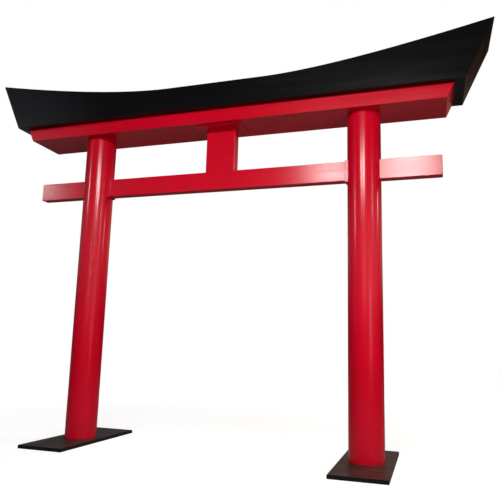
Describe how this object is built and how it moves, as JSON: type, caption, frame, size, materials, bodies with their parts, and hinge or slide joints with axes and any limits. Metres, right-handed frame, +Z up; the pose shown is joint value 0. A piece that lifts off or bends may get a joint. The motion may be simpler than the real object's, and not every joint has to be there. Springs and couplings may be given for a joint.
{
  "type": "torii gate",
  "caption": "Free-standing torii gate with round posts on flat foot plates, a through tie beam with a centre strut and two stacked lintels, the top one swept up at its ends.",
  "frame": {"origin": "on the floor midway between the two posts", "axes": "+X along the beams to the right seen from the front, +Y through the gateway from front to back, +Z up"},
  "size_m": [4.1466, 1.02, 3.077],
  "materials": {
    "black_lintel_paint": "satin black paint on board",
    "red_board_paint": "semi-gloss red paint on board and timber",
    "red_post_gloss": "gloss red paint on pipe",
    "black_plate_paint": "satin black paint on board"
  },
  "bodies": {
    "root": {"kasagi_front_board": "black_lintel_paint", "kasagi_back_board": "black_lintel_paint", "kasagi_soffit": "black_lintel_paint", "kasagi_top_sheet": "black_lintel_paint", "kasagi_end_left": "black_lintel_paint", "kasagi_end_right": "black_lintel_paint", "shimaki_front_board": "red_board_paint", "shimaki_back_board": "red_board_paint", "shimaki_soffit": "red_board_paint", "shimaki_end_left": "red_board_paint", "shimaki_end_right": "red_board_paint", "nuki_beam": "red_board_paint", "gakuzuka_strut": "red_board_paint", "strut_head_plate": "red_board_paint", "nuki_sleeve_left": "red_board_paint", "nuki_sleeve_right": "red_board_paint", "post_left": "red_post_gloss", "post_right": "red_post_gloss", "foot_plate_left": "black_plate_paint", "foot_plate_right": "black_plate_paint"}
  },
  "joints": []
}
